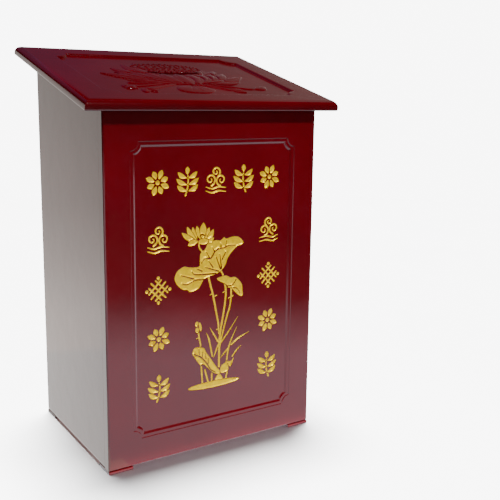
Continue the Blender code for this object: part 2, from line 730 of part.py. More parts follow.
def build_feet(lacquer, floor, screw):
    """Four feet, each held by one screw from below."""
    places = (("front", FRONT_Y, 1), ("back", BACK_Y, -1))
    for row, edge, inward in places:
        for side, word in ((LEFT, "left"), (RIGHT, "right")):
            pad = foot(f"foot_{row}_{word}", side, edge + inward * FOOT_SIZE / 2, lacquer)
            x = side * (BODY_WIDTH / 2 - FOOT_SCREW_INSET)
            head = (x, edge + inward * FOOT_SCREW_INSET, FOOT_SCREW_SINK)
            screw.drive(f"foot_screw_{row}_{word}", head, FACE_DOWN, (pad, floor))


def build_door(back, lacquer, brass, screw):
    """The door and its hinges, on the hinge line."""
    hinge_line = empty("door_axis", (HINGE_X, HINGE_Y, DOORWAY_CENTRE_Z))
    door = back_door(hinge_line, lacquer)
    for name, z in (
        ("hinge_lower", DOORWAY_BOTTOM_Z + HINGE_INSET),
        ("hinge_upper", DOORWAY_BOTTOM_Z + DOORWAY_HEIGHT - HINGE_INSET),
    ):
        hinge(name, z, hinge_line, back, door, brass, screw)
    return door, hinge_line


def build_lock(door, hinge_line, chrome, steel):
    """The cam lock through the door, unlocked, with its cam hanging down and its key in."""
    offset = (LOCK_X - HINGE_X, BACK_Y - HINGE_Y, 0)
    seat = empty("lock_seat", offset, (-math.pi / 2, 0, 0), hinge_line)
    bore = LOCK_BARREL_RADIUS + GAP
    room = ((0, -THROUGH), (bore, -THROUGH), (bore, OVERCUT), (0, OVERCUT))
    cut(door, turned("lock_bore", room, BORE_SIDES), parent=seat)
    lock_body(chrome, seat)
    lock_nut(steel, seat)
    turning = empty("lock_axis", (0, 0, 0), (0, 0, math.pi / 2), seat)
    lock_plug(chrome, turning)
    lock_cam(steel, turning)
    lock_cam_screw(steel, turning)
    sliding = empty("key_axis", (0, 0, 0), parent=turning)
    key(chrome, sliding)


def main():
    for item in list(bpy.data.objects):
        bpy.data.objects.remove(item)

    lacquer = material("red_lacquer", (0.14, 0.002, 0.006), 0.12)
    wood = material("bare_wood", (0.55, 0.38, 0.22), 0.7)
    brass = material("hinge_brass", (0.78, 0.57, 0.22), 0.3, 1.0)
    chrome = material("lock_chrome", (0.8, 0.8, 0.82), 0.12, 1.0)
    steel = material("fitting_steel", (0.6, 0.6, 0.6), 0.35, 1.0)

    small_screw = Screw("small_screw", 0.0027, 0.0013, 0.012, steel)
    brass_screw = Screw("brass_screw", 0.0027, 0.0013, 0.012, brass)
    long_screw = Screw("long_screw", 0.0035, 0.0017, 0.025, steel)

    back, floor = build_case(lacquer, wood)
    build_lid(lacquer, wood, long_screw)
    build_feet(lacquer, floor, small_screw)
    door, hinge_line = build_door(back, lacquer, brass, brass_screw)
    build_lock(door, hinge_line, chrome, steel)
    strike_plate(steel, small_screw, back)


main()
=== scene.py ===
"""Looks for the donation box: carved and gilded front, carved lid, lacquer, fittings and a studio."""

import math

import bmesh
import bpy
import numpy as np
from mathutils import Matrix, Vector
from mathutils.geometry import tessellate_polygon


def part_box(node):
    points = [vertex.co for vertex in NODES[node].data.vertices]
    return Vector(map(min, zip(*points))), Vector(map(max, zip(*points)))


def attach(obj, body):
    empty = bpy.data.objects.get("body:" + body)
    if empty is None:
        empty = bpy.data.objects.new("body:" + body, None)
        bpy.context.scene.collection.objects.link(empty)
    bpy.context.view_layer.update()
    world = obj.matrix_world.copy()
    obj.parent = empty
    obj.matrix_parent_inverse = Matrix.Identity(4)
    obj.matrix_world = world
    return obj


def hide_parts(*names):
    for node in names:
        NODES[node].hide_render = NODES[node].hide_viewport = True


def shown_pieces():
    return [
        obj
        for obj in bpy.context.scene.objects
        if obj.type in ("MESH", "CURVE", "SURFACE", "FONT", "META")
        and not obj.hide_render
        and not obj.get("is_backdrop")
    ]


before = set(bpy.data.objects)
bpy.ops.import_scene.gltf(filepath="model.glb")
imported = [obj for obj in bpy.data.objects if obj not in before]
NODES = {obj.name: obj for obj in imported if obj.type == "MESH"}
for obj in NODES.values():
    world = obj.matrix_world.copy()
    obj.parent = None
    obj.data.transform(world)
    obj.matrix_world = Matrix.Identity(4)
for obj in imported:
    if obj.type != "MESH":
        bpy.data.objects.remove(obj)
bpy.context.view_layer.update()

MM = 0.001
BOARD = 15.0  # every length below is in millimetres, unless its comment says otherwise
GAP = 0.3
EDGE_ROUND = 3.0
LID_SLOPE = math.radians(15.4)
LID_FRONT_OVERHANG = 16.7
LID_LENGTH = 304.0
LID_TOP_ROUND = 10.0
LID_BOTTOM_ROUND = 2.5
EDGE_STEPS, LID_TOP_STEPS, LID_BOTTOM_STEPS = 6, 9, 3
SLOT_SIZE = (90.0, 10.0)
SLOT_CENTRE = 146.0  # up the slope from the front face

# Sunk fields: size, middle above the lower edge, notch radius, and (inset, depth) pairs.
FRONT_MOULDING = (
    (0, 0), (0.25, 0.12), (0.7, 0.85), (1.0, 1.0), (4.9, 1.0), (5.4, 1.15), (7.9, 2.8), (8.4, 3.0),
)
FRONT_FIELD = ((273.4, 426.0), 252.0, 13.0, FRONT_MOULDING)
FRONT_FLOOR = FRONT_MOULDING[-1][1]
LID_MOULDING = ((0, 0), (1.4, 0.16), (2.2, 0.5), (2.7, 1.2), (3.6, 3.1), (4.2, 3.5))
LID_FIELD = ((325.0, 228.0), 132.0, 22.0, LID_MOULDING)
LID_FLOOR = LID_MOULDING[-1][1]
NOTCH_STEP = 2.5
NOTCH_SIDES = 9

# The two carving grids: lower left corner, and cells across and up.
FRONT_PITCH = 0.6
FRONT_GRID = ((-120.0, 85.0), (400, 576))
SLOT_CELLS = 12  # the slot's width, in cells of the lid's grid
SLOT_ROW = 136
LID_PITCH = SLOT_SIZE[1] / SLOT_CELLS
LID_CELLS = (320, 248)
LID_LOW = SLOT_CENTRE - SLOT_CELLS / 2 * LID_PITCH - SLOT_ROW * LID_PITCH
LID_GRID = ((-LID_CELLS[0] / 2 * LID_PITCH, LID_LOW), LID_CELLS)
LARGEST_BLOCK = 8
CREASE = math.radians(35)
FAR = 60.0

# How the carving is cut.
CARVING_SLOPE = 0.9
CARVING_DEPTH = 1.6
CARVING_REACH = 9.0
MOAT = 0.7
GROOVE_DEPTH, GROOVE_WIDTH = 0.9, 1.6
RELIEF_REACH = 3.0
RELIEF_SKIN = 0.1  # how far the relief stays below the lid's face
PLAIN = -2.0  # the gilding value of a point that is far from the gold
CURVE_STEPS = 5
OVAL_SIDES = 28
PETAL_STEPS = 15
PETAL_FULLNESS = 0.85
PETAL_FOOT = 0.12
SCORE_ROUNDNESS = 0.7

FRONT_LOW, FRONT_HIGH = (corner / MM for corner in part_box("front_panel"))
HALF_WIDTH = FRONT_HIGH.x
FRONT_HEIGHT = FRONT_HIGH.z - BOARD * math.tan(LID_SLOPE) - FRONT_LOW.z
LID_HALF_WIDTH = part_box("lid")[1].x / MM


# ---------------------------------------------------------------- curves and distances

def smooth(points, closed=False, steps=CURVE_STEPS):
    """A smooth curve through the points, by Catmull and Rom's rule."""
    points = np.array(points, float)
    if closed:
        padded = np.vstack([points[-1:], points, points[:2]])
    else:
        padded = np.vstack([2 * points[:1] - points[1:2], points, 2 * points[-1:] - points[-2:-1]])
    t = np.linspace(0, 1, steps, endpoint=False)[:, None]
    curve = []
    for a, b, c, d in zip(padded, padded[1:], padded[2:], padded[3:]):
        square = 2 * a - 5 * b + 4 * c - d
        cube = 3 * (b - c) + d - a
        curve.append(b + 0.5 * t * (c - a + t * (square + t * cube)))
    if not closed:
        curve.append(points[-1:])
    return np.vstack(curve)


def stroke_distance(grid, points, half_widths):
    """Signed distance to a line whose half-width changes evenly between its points."""
    grid_x, grid_y = grid
    nearest = np.full(grid_x.shape, FAR)
    for start, end, start_half, end_half in zip(points, points[1:], half_widths, half_widths[1:]):
        run = end - start
        along = ((grid_x - start[0]) * run[0] + (grid_y - start[1]) * run[1]) / max(run @ run, 1e-9)
        along = np.clip(along, 0, 1)
        away = np.hypot(grid_x - start[0] - along * run[0], grid_y - start[1] - along * run[1])
        nearest = np.minimum(nearest, away - start_half - along * (end_half - start_half))
    return nearest


def area_distance(grid, outline):
    """Signed distance to a closed outline, negative inside."""
    grid_x, grid_y = grid
    closed = np.vstack([outline, outline[:1]])
    away = stroke_distance(grid, closed, np.zeros(len(closed)))
    inside = np.zeros(grid_x.shape, bool)
    for start, end in zip(closed, closed[1:]):
        if start[1] != end[1]:
            crossing = start[0] + (grid_y - start[1]) * (end[0] - start[0]) / (end[1] - start[1])
            inside ^= ((start[1] > grid_y) != (end[1] > grid_y)) & (grid_x < crossing)
    return np.where(inside, -away, away)


def oval(centre, half_long, half_wide, angle=0.0):
    """The outline of an ellipse whose long axis is turned by an angle in degrees."""
    turn = np.linspace(0, 2 * math.pi, OVAL_SIDES, endpoint=False)
    c, s = math.cos(math.radians(angle)), math.sin(math.radians(angle))
    x = half_long * np.cos(turn)
    y = half_wide * np.sin(turn)
    return np.column_stack([centre[0] + x * c - y * s, centre[1] + x * s + y * c])


def petal(base, tip, half_width, bend=0.0, widest=0.55):
    """A pointed petal from its base to its tip, whose middle line bends to the left."""
    base, tip = np.array(base, float), np.array(tip, float)
    run = tip - base
    left = np.array([-run[1], run[0]]) / np.linalg.norm(run)
    t = np.linspace(0, 1, PETAL_STEPS)
    power = math.log(0.5) / math.log(widest)
    swell = half_width * np.sin(math.pi * t**power) ** PETAL_FULLNESS + PETAL_FOOT * half_width * (1 - t)
    middle = base + t[:, None] * run + (bend * np.sin(math.pi * t))[:, None] * left
    sides = swell[:, None] * left
    return np.vstack([middle + sides, (middle - sides)[-2::-1]])


class Canvas:
    """A grid over a rectangle, on which outlines are carved or raised."""

    def __init__(self, pitch, low, cells):
        self.pitch = pitch
        self.cells = cells
        self.x = low[0] + pitch * np.arange(cells[0] + 1)
        self.y = low[1] + pitch * np.arange(cells[1] + 1)
        self.distance = np.full((cells[1] + 1, cells[0] + 1), FAR)
        self.height = np.zeros_like(self.distance)

    def near(self, points, margin):
        """The part of the grid around some points, as slices and coordinates."""
        low, high = points.min(0) - margin, points.max(0) + margin
        rows = slice(*np.searchsorted(self.y, (low[1], high[1])))
        columns = slice(*np.searchsorted(self.x, (low[0], high[0])))
        return (rows, columns), np.meshgrid(self.x[columns], self.y[rows])

    def area(self, outline, moat=MOAT):
        """Add an area, standing clear of what is already there."""
        part, grid = self.near(outline, CARVING_REACH)
        away = area_distance(grid, outline)
        before = np.maximum(self.distance[part], moat - away)
        self.distance[part] = np.minimum(before, away)

    def stroke(self, points, half_widths, steps=CURVE_STEPS):
        """Add a tapering line. It joins what is already there."""
        line, widths = tapered(points, half_widths, steps)
        part, grid = self.near(line, CARVING_REACH)
        self.distance[part] = np.minimum(self.distance[part], stroke_distance(grid, line, widths))

    def standing(self, points, half_widths):
        """Take a tapering line out of what is already there."""
        line, widths = tapered(points, half_widths)
        part, grid = self.near(line, CARVING_REACH)
        self.distance[part] = np.maximum(self.distance[part], -stroke_distance(grid, line, widths))

    def emboss(self, outline, level, crown, shoulder):
        """Raise an area to a level, with a domed top and with a groove around it."""
        part, grid = self.near(outline, RELIEF_REACH)
        away = area_distance(grid, outline)
        dome = np.sqrt(np.clip(-away / shoulder, 0, 1))
        groove = GROOVE_DEPTH * np.clip(1 - away / GROOVE_WIDTH, 0, 1)
        around = np.maximum(self.height[part] - groove, 0)
        self.height[part] = np.where(away < 0, level + crown * dome, around)
        self.distance[part] = np.minimum(self.distance[part], away)

    def score(self, points, half_widths, depth):
        """Press a rounded line into what has been raised."""
        line, widths = tapered(points, half_widths)
        part, grid = self.near(line, RELIEF_REACH)
        away = stroke_distance(grid, line, widths)
        self.height[part] -= depth * np.clip(-away / max(half_widths), 0, 1) ** SCORE_ROUNDNESS
        self.height[part] = np.maximum(self.height[part], 0)


def tapered(points, half_widths, steps=CURVE_STEPS):
    """A smooth line through the points, with half-widths spread evenly over it."""
    line = smooth(points, steps=steps)
    share = np.linspace(0, 1, len(line))
    return line, np.interp(share, np.linspace(0, 1, len(half_widths)), half_widths)


# ---------------------------------------------------------------- the gilded lotus

# Points across the front, from its middle, and up it, from its lower edge.
BIG_LEAF = (
    (-27, 285), (-26, 300), (-20, 305), (-17, 308), (-14, 314), (-10, 316), (0, 318), (8, 317),
    (14, 321), (18, 319), (30, 321), (40, 319), (46, 314), (48, 310), (43, 307), (37, 306), (30, 300),
    (24, 294), (20, 288), (17, 280), (10, 272), (0, 267), (-10, 265), (-20, 261), (-25, 254),
    (-30, 248), (-42, 245), (-48, 249), (-55, 250), (-62, 256), (-67, 263), (-68, 270), (-64, 278),
    (-58, 282), (-52, 284), (-45, 282), (-35, 281), (-28, 282),
)
BIG_LEAF_FLAP = (
    (-24, 286), (-20, 291), (-16, 293), (-10, 291.5), (-5, 296), (-2, 301), (3, 304), (8, 305),
    (16, 306), (22, 308), (34, 307.5),
)
BIG_LEAF_FOLDS = (
    ((-16, 302), (-10, 292)), ((-6, 308), (-2, 301)), ((9, 312), (8.5, 306)), ((19, 316), (17, 307)),
)
BIG_LEAF_VEINS = (
    ((7, 296), (10, 275)), ((17, 299), (11, 288)), ((1, 292), (8, 274)), ((-12, 288), (-5, 278)),
    ((-17, 279), (5, 271)), ((-31, 278), (-23, 274)), ((-40, 275), (-33, 270), (0, 268)),
    ((-57, 271), (-37, 264)), ((-56, 259), (-47, 257), (-34, 262), (-20, 261)),
)
SMALL_LEAF = (
    (2, 260), (8, 262), (15, 263), (20, 262), (26, 259), (33, 259), (40, 254), (46, 246), (47, 238),
    (48, 230), (46, 228), (40, 230), (30, 240), (28, 243), (22, 244), (20, 248), (13, 252), (6, 256),
)
SMALL_LEAF_VEINS = (  # points and half-widths
    (((22, 247), (29, 247), (36, 255)), (0.8, 0.5)),
    (((31, 243), (38, 240), (43, 233)), (0.7, 0.4)),
)
FOLDED_LEAF = (
    (-39, 150), (-38, 156), (-33, 159.5), (-20, 156.5), (-16, 149), (-10, 141), (-4, 132), (3, 122),
    (9, 115), (8, 111), (0, 113), (-8, 119), (-20, 131), (-26, 131), (-32, 139), (-38, 148),
)
FOLDED_LEAF_FOLD = ((-36, 149), (-25, 143), (-15, 132), (-8, 121), (0, 115))
FOLDED_LEAF_RIBS = (
    ((-28, 156), (-27, 147)), ((-22, 151), (-22, 143)), ((-17, 147), (-16, 139)), ((-12, 139), (-12, 131)),
)
SPROUTS = (
    ((10, 122), (17, 127), (20, 129), (23, 120), (22, 113), (10, 112)),
    ((21, 128), (28, 128), (33, 133), (30, 124), (26, 119)),
)
MOUND = ((0, 100), (1, 106), (5, 111), (10, 109), (13, 101))
BUD = (((-32, 195), 4.2, 2.8, 80), ((-31, 185.5), 4.6, 3.0, 95), ((-26, 190), 7, 2.3, 100))
GROUND = ((-2, 97), 45, 5.2)
FLOWER_HEART = ((-21, 318), 8.5, 4.6)
FLOWER_CREASE = ((-27, 326), (-23, 328.5), (-18, 326))
FLOWER_PETALS = (  # base, tip, half-width and bend, from the back of the flower to its front
    ((-26, 322), (-32, 342), 3.4, 1.0),
    ((-31, 321), (-39, 341), 3.0, 1.5),
    ((-32, 321), (-48, 342), 3.6, 2.5),
    ((-33, 320), (-57, 334), 3.6, 2.0),
    ((-20, 321), (-11, 338), 3.6, -1.0),
    ((-17, 319), (-4, 335), 3.6, -2.0),
    ((-22, 321), (-21, 346), 5.2, 0.0),
    ((-16, 317), (-3, 322), 3.2, -1.5),
    ((-29, 319), (-47, 314), 4.2, -1.5),
)
STEMS = (  # points and half-widths
    (((-28, 317), (-28, 310), (-23, 303)), (1.3, 1.3)),
    (((-12, 263), (-8, 248), (-5, 238), (2, 205), (5, 190), (6, 175)), (1.5, 1.5, 1.3)),
    (((9, 271), (13, 263), (16, 250), (17.5, 240), (17, 225), (13, 200), (9, 180), (7, 160),
      (6.5, 123)), (1.4, 1.6, 1.7, 1.7)),
    (((27, 243), (27, 230), (25, 215), (21, 203), (17, 190), (10, 165), (8, 155)), (1.5, 1.5, 1.2)),
    (((-29, 181), (-26, 165), (-25, 158)), (1.2, 1.2)),
    (((-24, 128), (-22, 101)), (1.3, 1.3)),
    (((-18, 122), (-12, 101)), (1.3, 1.3)),
    (((-6, 114), (-6, 101)), (1.3, 1.3)),
    (((22, 115), (19, 103)), (1.3, 1.3)),
)
THORNS = ((-8, 237), (0, 234), (14, 238), (24, 228), (29.5, 230), (3, 182), (-30.5, 173))
THORN_REACH = np.array((1.4, 0.6))
GRASS = (
    ((8, 158), (20, 172), (40, 197)), ((20, 130), (23, 148), (28, 162), (38, 181)),
    ((28, 154), (40, 162), (61, 170)), ((30, 135), (38, 144), (46, 150)), ((5, 162), (-10, 187)),
    ((-5, 141), (-11, 168), (-16, 180)), ((5, 158), (-3, 138)), ((22, 149), (9, 136)),
)

# Half-widths of the lines, from one end to the other.
FLAP_LINE = (0.5, 1.0, 0.9, 0.5)
FOLD_LINE = (0.3, 0.8)
VEIN_LINE = (0.5, 0.95)
HEART_LINE = (0.5, 1.0, 0.5)
THORN_LINE = (0.8, 0.8)
BLADE_LINE = (1.2, 1.3, 0.3)
SPINE_LINE = (0.9, 0.9, 0.5)
RIB_LINE = (0.3, 0.6)


def lotus(canvas):
    """The lotus: leaves, stems, a flower, grass and the ground, all cut into the front."""
    canvas.area(smooth(BIG_LEAF, closed=True))
    canvas.standing(BIG_LEAF_FLAP, FLAP_LINE)
    for fold in BIG_LEAF_FOLDS:
        canvas.standing(fold, FOLD_LINE)
    for vein in BIG_LEAF_VEINS:
        canvas.standing(vein, VEIN_LINE)
    for base, tip, half_width, bend in FLOWER_PETALS:
        canvas.area(petal(base, tip, half_width, bend))
    canvas.area(oval(*FLOWER_HEART))
    canvas.standing(FLOWER_CREASE, HEART_LINE)
    for points, half_widths in STEMS:
        canvas.stroke(points, half_widths)
    for thorn in THORNS:
        canvas.stroke((thorn - THORN_REACH, thorn + THORN_REACH), THORN_LINE)
    canvas.area(smooth(SMALL_LEAF, closed=True), moat=0.9)
    for points, half_widths in SMALL_LEAF_VEINS:
        canvas.standing(points, half_widths)
    for blade in GRASS:
        canvas.stroke(blade, BLADE_LINE)
    for numbers in BUD:
        canvas.area(oval(*numbers))
    canvas.area(smooth(FOLDED_LEAF, closed=True))
    canvas.standing(FOLDED_LEAF_FOLD, SPINE_LINE)
    for rib in FOLDED_LEAF_RIBS:
        canvas.standing(rib, RIB_LINE)
    for sprout in SPROUTS:
        canvas.area(smooth(sprout, closed=True))
    canvas.area(smooth(MOUND, closed=True), moat=0.4)
    canvas.area(oval(*GROUND), moat=0.3)


# ---------------------------------------------------------------- gilded ornaments

ORNAMENT_SCALE = 1.16
SPIRAL_STEPS = 16
SPIRAL_SHRINK = 0.82


def turned_points(points, centre, angle=0.0, flip=1):
    """Points of a motif turned by an angle in degrees about the origin, enlarged, then moved."""
    c, s = math.cos(math.radians(angle)), math.sin(math.radians(angle))
    points = np.array(points, float) * (flip * ORNAMENT_SCALE, ORNAMENT_SCALE)
    return points @ np.array([[c, s], [-s, c]]) + centre


def rosette(canvas, centre):
    """Eight petals, every other one longer, round a button."""
    for k in range(8):
        reach = 16.5 if k % 2 else 15.0
        canvas.area(turned_points(petal((4.6, 0), (reach, 0), 3.2), centre, 45 * k + 22.5))
    canvas.area(oval(centre, 3.4, 3.4), moat=0.9)


def sprig(canvas, centre, flip=1):
    """A leaning stem with paired leaves and a bud."""
    canvas.stroke(turned_points(((3, -17), (0, -8), (-1, 2), (0, 9)), centre, 0, flip), (1.4, 1.3, 1.0))
    for y, reach in ((-12, 14.5), (-4.0, 15.5), (4.0, 13.5)):
        for side in (-1, 1):
            leaf = petal((side * 1.0, y), (side * reach, y + 7.5), 2.9, -side * 1.6)
            canvas.area(turned_points(leaf, centre, 0, flip))
    canvas.area(turned_points(petal((0, 8), (0, 18), 2.9), centre, 0, flip))


def spiral(radius, turns, start, centre):
    """Points along a curl that winds in from its rim."""
    t = np.linspace(0, 1, SPIRAL_STEPS)
    angle = math.radians(start) + turns * 2 * math.pi * t
    reach = radius * (1 - SPIRAL_SHRINK * t)
    return np.column_stack([centre[0] + reach * np.cos(angle), centre[1] + reach * np.sin(angle)])


def cloud(canvas, centre, flip=1):
    """Three curls over two flowing lines."""
    curls = (spiral(7.6, 1.35, -80, (-7.5, 0.5)), spiral(7.6, -1.35, 260, (8.0, -0.5)),
             spiral(6.6, 1.3, -60, (0.5, 10.0)))
    for curl in curls:
        canvas.stroke(turned_points(curl, centre, 0, flip), (1.5, 1.3, 0.9), steps=2)
    for dy in (-9.5, -14.5):
        tail = ((-14, dy + 1), (-5, dy - 1.5), (4, dy + 0.5), (15, dy - 1))
        canvas.stroke(turned_points(tail, centre, 0, flip), (0.6, 1.4, 1.4, 0.6))


def lattice(canvas, centre):
    """Crossing bands with a round boss at each of the four corners."""
    for offset in (-6.2, 0, 6.2):
        reach = 13.5 - 0.35 * abs(offset)
        band = ((-reach, offset), (reach, offset))
        for angle in (45, -45):
            canvas.stroke(turned_points(band, centre, angle), (1.35, 1.35))
    for k in range(4):
        canvas.area(turned_points(oval((15.5, 0), 2.2, 2.2), centre, 90 * k), moat=0.2)


ORNAMENTS = (  # motif, place across the panel, place above its lower edge, and -1 where it is mirrored
    (rosette, -94, 407), (sprig, -47, 407, -1), (cloud, -1, 407), (sprig, 47, 407), (rosette, 93, 407),
    (cloud, -94, 327), (lattice, -94, 254), (rosette, -94, 182), (sprig, -94, 108, -1),
    (cloud, 94, 327, -1), (lattice, 94, 255), (rosette, 94, 183), (sprig, 94, 111),
)


# ---------------------------------------------------------------- the lid's relief

# Points across the lid, from its middle, and up its slope, from the front face.
LID_STEMS = (
    ((-104, 84), (-60, 80), (-20, 84), (10, 80)), ((10, 80), (50, 74), (90, 60), (116, 69)),
    ((-40, 84), (-80, 70), (-108, 61)), ((-30, 80), (-62, 62), (-88, 48)),
    ((18, 80), (40, 62), (58, 48)),
)
LID_STEM_HALF = 3.0
LID_STEM_RISE = (0.2, 1.8, LID_STEM_HALF)  # level, crown and shoulder, as in the two below
LID_PETALS = (  # base, tip, half-width, bend and level, from the back of the flower to its front
    ((-30, 130), (-40, 209), 15, 2, 0.2), ((22, 130), (34, 206), 15, -2, 0.2),
    ((-30, 110), (-68, 194), 16, 3, 0.4), ((28, 112), (60, 190), 15, -3, 0.4),
    ((-32, 105), (-96, 168), 13, 4, 0.7), ((32, 105), (84, 168), 12, -4, 0.7),
    ((-30, 96), (-124, 138), 12, 5, 0.8), ((32, 98), (118, 132), 11, -5, 0.8),
    ((-30, 92), (-99, 145), 11, 5, 0.9), ((34, 96), (92, 150), 11, -5, 0.9),
)
LID_FRONT_PETALS = (
    ((-26, 90), (-74, 145), 12, 4, 1.0), ((30, 92), (66, 145), 12, -4, 1.0),
    ((-20, 88), (-50, 141), 13, 3, 1.1), ((22, 88), (46, 141), 13, -3, 1.1),
    ((-14, 84), (-24, 139), 14, 2, 1.2), ((14, 84), (24, 139), 14, -2, 1.2),
    ((0, 78), (0, 139), 15, 0, 1.3),
    ((-18, 86), (-66, 110), 8, 5, 1.0), ((24, 90), (70, 108), 8, -5, 1.0),
    ((30, 86), (96, 100), 7, -4, 0.9), ((-30, 84), (-96, 102), 7, 4, 0.9),
)
LID_BUDS = (
    ((-100, 54), (-120, 70), 7, 2, 0.6), ((-100, 66), (-118, 54), 6, 2, 0.9),
    ((-80, 58), (-98, 34), 7, -2, 0.6), ((-92, 52), (-76, 38), 6, 2, 0.9),
    ((50, 58), (72, 40), 8, 2, 0.6), ((96, 60), (126, 73), 8, -2, 0.6),
)
LID_PETAL_CROWN = 2.1
LID_PETAL_SHOULDER = 0.9  # of its half-width
PRESSED_SHARES = (0.3, 0.5, 0.7, 0.88)  # of the way from the petal's base to its tip
PRESSED_LINE, PRESSED_DEPTH = (0.9, 1.2, 0.7), 0.5
LID_POD, LID_POD_REACH = (2, 177), np.array((62, 26))
LID_POD_RISE = (0.4, 1.4, 12)
SEED_RINGS = (0.12, 0.34, 0.56, 0.76, 0.94)  # of the pod's reach
SEED_SPACING = 0.026  # of a full turn, on the pod's rim
SEED_HALF = (2.4, 1.9)
LID_LEAF = ((-38, 50), (-28, 38), (-8, 34), (10, 38), (22, 50), (16, 66), (0, 74), (-20, 73), (-34, 64))
LID_LEAF_RISE = (0.6, 2.4, 14)
LID_LEAF_FOOT = (-8, 68)
LID_LEAF_VEIN_ENDS = ((-32, 52), (-20, 42), (-4, 39), (10, 45), (17, 55))
LID_VEIN_LINE, LID_VEIN_DEPTH = (1.6, 1.0), 0.7


def lid_relief(canvas):
    """A lotus in low relief around the money slot."""
    for stem in LID_STEMS:
        canvas.emboss(stroke_outline(stem, LID_STEM_HALF), *LID_STEM_RISE)
    for numbers in LID_PETALS:
        lid_petal(canvas, *numbers)
    canvas.emboss(oval(LID_POD, *LID_POD_REACH), *LID_POD_RISE)
    for share in SEED_RINGS:
        level = 2.0 - 0.9 * share
        for turn in np.arange(0, 1, SEED_SPACING / share):
            angle = 2 * math.pi * turn
            seed = LID_POD + LID_POD_REACH * share * np.array([math.cos(angle), math.sin(angle)])
            canvas.emboss(oval(seed, *SEED_HALF), level, 1.2, SEED_HALF[1])
    for numbers in LID_FRONT_PETALS + LID_BUDS:
        lid_petal(canvas, *numbers)
    canvas.emboss(smooth(LID_LEAF, closed=True), *LID_LEAF_RISE)
    for end in LID_LEAF_VEIN_ENDS:
        canvas.score((LID_LEAF_FOOT, end), LID_VEIN_LINE, LID_VEIN_DEPTH)


def lid_petal(canvas, base, tip, half_width, bend, level):
    """One raised petal, domed towards its middle, with a pressed line on each side."""
    outline = petal(base, tip, half_width, bend)
    canvas.emboss(outline, level, LID_PETAL_CROWN, LID_PETAL_SHOULDER * half_width)
    base, tip = np.array(base, float), np.array(tip, float)
    run = tip - base
    left = np.array([-run[1], run[0]]) / np.linalg.norm(run)
    for side in (-0.5, 0.5):
        line = []
        for t in PRESSED_SHARES:
            swell = math.sin(math.pi * t)
            line.append(base + t * run + left * (bend * swell + side * half_width * swell))
        canvas.score(line, PRESSED_LINE, PRESSED_DEPTH)


def stroke_outline(points, half_width):
    """The outline of a line of even width."""
    line = smooth(points)
    run = np.gradient(line, axis=0)
    side = np.column_stack([-run[:, 1], run[:, 0]]) / np.linalg.norm(run, axis=1)[:, None] * half_width
    return np.vstack([line + side, (line - side)[::-1]])


# ---------------------------------------------------------------- meshes

class Shell:
    """Points and faces of one closed piece, in a flat frame: across, up, and depth below its face."""

    def __init__(self):
        self.points = []
        self.faces = []
        self.gilding = []

    def add(self, points):
        """Add plain points. Returns their numbers."""
        start = len(self.points)
        self.points += [tuple(point) for point in points]
        self.gilding += [PLAIN] * len(points)
        return list(range(start, len(self.points)))

    def bridge(self, first, second):
        """Quads between two loops with the same number of points."""
        for k in range(len(first)):
            after = (k + 1) % len(first)
            self.faces.append((first[k], first[after], second[after], second[k]))

    def fill(self, *loops):
        """Triangles between an outer loop and the holes in it."""
        flat = [index for loop in loops for index in loop]
        rings = [[Vector((*self.points[index][:2], 0)) for index in loop] for loop in loops]
        self.faces += [tuple(flat[k] for k in triangle) for triangle in tessellate_polygon(rings)]

    def grid(self, canvas, depth, gilding, hole=None):
        """The canvas as faces, coarser away from what is carved. Returns its rim and the hole's rim."""
        columns, rows = canvas.cells
        faces = blocks(canvas, hole)
        used = np.zeros((rows + 1, columns + 1), bool)
        for row, column, size in faces:
            used[row:row + size + 1:size, column:column + size + 1:size] = True
        number = np.full(used.shape, -1)
        start = len(self.points)
        number[used] = np.arange(start, start + used.sum())
        up, across = np.nonzero(used)
        self.points += list(zip(canvas.x[across], canvas.y[up], depth[used]))
        self.gilding += list(gilding[used])
        for row, column, size in faces:
            self.faces.append(tuple(rim(number, row, column, row + size, column + size)))
        outer = rim(number, 0, 0, rows, columns)
        inner = rim(number, hole[1], hole[0], hole[3], hole[2]) if hole else None
        return outer, inner

    def piece(self, name, to_world):
        """Make the object, with outward faces and with the gilding stored on its points."""
        mesh = bpy.data.meshes.new(name)
        co = np.array(self.points, float) * MM
        mesh.from_pydata([to_world @ Vector(point) for point in co], [], self.faces)
        attribute = mesh.attributes.new("gilding", "FLOAT", "POINT")
        attribute.data.foreach_set("value", np.array(self.gilding, np.float32))
        bm = bmesh.new()
        bm.from_mesh(mesh)
        bmesh.ops.recalc_face_normals(bm, faces=bm.faces)
        bm.to_mesh(mesh)
        bm.free()
        piece = bpy.data.objects.new(name, mesh)
        bpy.context.scene.collection.objects.link(piece)
        shade(piece)
        return piece


def blocks(canvas, hole):
    """The canvas cut into square blocks of cells, as (row, column, size), larger away from what is carved."""
    columns, rows = canvas.cells
    clear = np.minimum(canvas.distance, hole_distance(canvas, hole))
    free = np.ones((rows, columns), bool)
    if hole:
        free[hole[1]:hole[3], hole[0]:hole[2]] = False
    found = []
    size = LARGEST_BLOCK
    while size >= 1:
        for row in range(0, rows, size):
            for column in range(0, columns, size):
                if not free[row:row + size, column:column + size].all():
                    continue
                part = clear[row:row + size + 1, column:column + size + 1]
                if size == 1 or part.min() > canvas.pitch * (0.5 * size + 1):
                    free[row:row + size, column:column + size] = False
                    found.append((row, column, size))
        size //= 2
    return found


def rim(number, row, column, last_row, last_column):
    """The used points around a block, in order."""
    loop = [*number[row, column:last_column], *number[row:last_row, last_column],
            *number[last_row, last_column:column:-1], *number[last_row:row:-1, column]]
    return [int(index) for index in loop if index >= 0]


